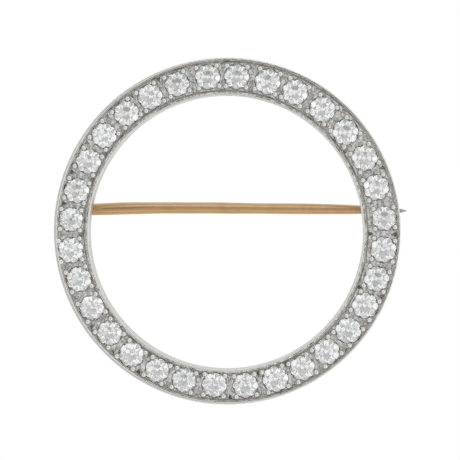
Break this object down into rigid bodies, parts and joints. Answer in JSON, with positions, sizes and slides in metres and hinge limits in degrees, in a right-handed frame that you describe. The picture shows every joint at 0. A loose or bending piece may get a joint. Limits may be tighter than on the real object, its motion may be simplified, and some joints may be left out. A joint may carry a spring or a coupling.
{
  "type": "circle pin brooch",
  "caption": "Open circle pin brooch: a polished metal ring bead-set with round old-cut diamonds, with a hinged rose-gold pin and an open catch across its back.",
  "frame": {"origin": "on the ring's axis, at the height of the surface that the lugs and the catch touch when the brooch lies on its back", "axes": "+Z out of the front, where the stones face; +X along the pin, from its hinge to its point; +Y the top of the brooch as it is worn"},
  "size_m": [0.0326, 0.032, 0.0036],
  "materials": {
    "platinum": "polished platinum with fine wear, gold lugs and catch soldered behind",
    "diamond": "cut and polished colourless diamond",
    "rose_gold": "polished rose gold with fine drawing marks"
  },
  "bodies": {
    "brooch": {"ring_frame": "platinum", "hinge_rivet": "rose_gold", "diamond_01": "diamond", "diamond_02": "diamond", "diamond_03": "diamond", "diamond_04": "diamond", "diamond_05": "diamond", "diamond_06": "diamond", "diamond_07": "diamond", "diamond_08": "diamond", "diamond_09": "diamond", "diamond_10": "diamond", "diamond_11": "diamond", "diamond_12": "diamond", "diamond_13": "diamond", "diamond_14": "diamond", "diamond_15": "diamond", "diamond_16": "diamond", "diamond_17": "diamond", "diamond_18": "diamond", "diamond_19": "diamond", "diamond_20": "diamond", "diamond_21": "diamond", "diamond_22": "diamond", "diamond_23": "diamond", "diamond_24": "diamond", "diamond_25": "diamond", "diamond_26": "diamond", "diamond_27": "diamond", "diamond_28": "diamond", "diamond_29": "diamond", "diamond_30": "diamond", "diamond_31": "diamond", "diamond_32": "diamond"},
    "pin": {"pin_stem": "rose_gold"}
  },
  "joints": [
    {"name": "pin_hinge", "type": "hinge", "parent": "brooch", "child": "pin", "pos_m": [-0.01436, 0.00193, 0.00057], "axis": [0, 1, 0], "range_deg": [0, 110]}
  ]
}
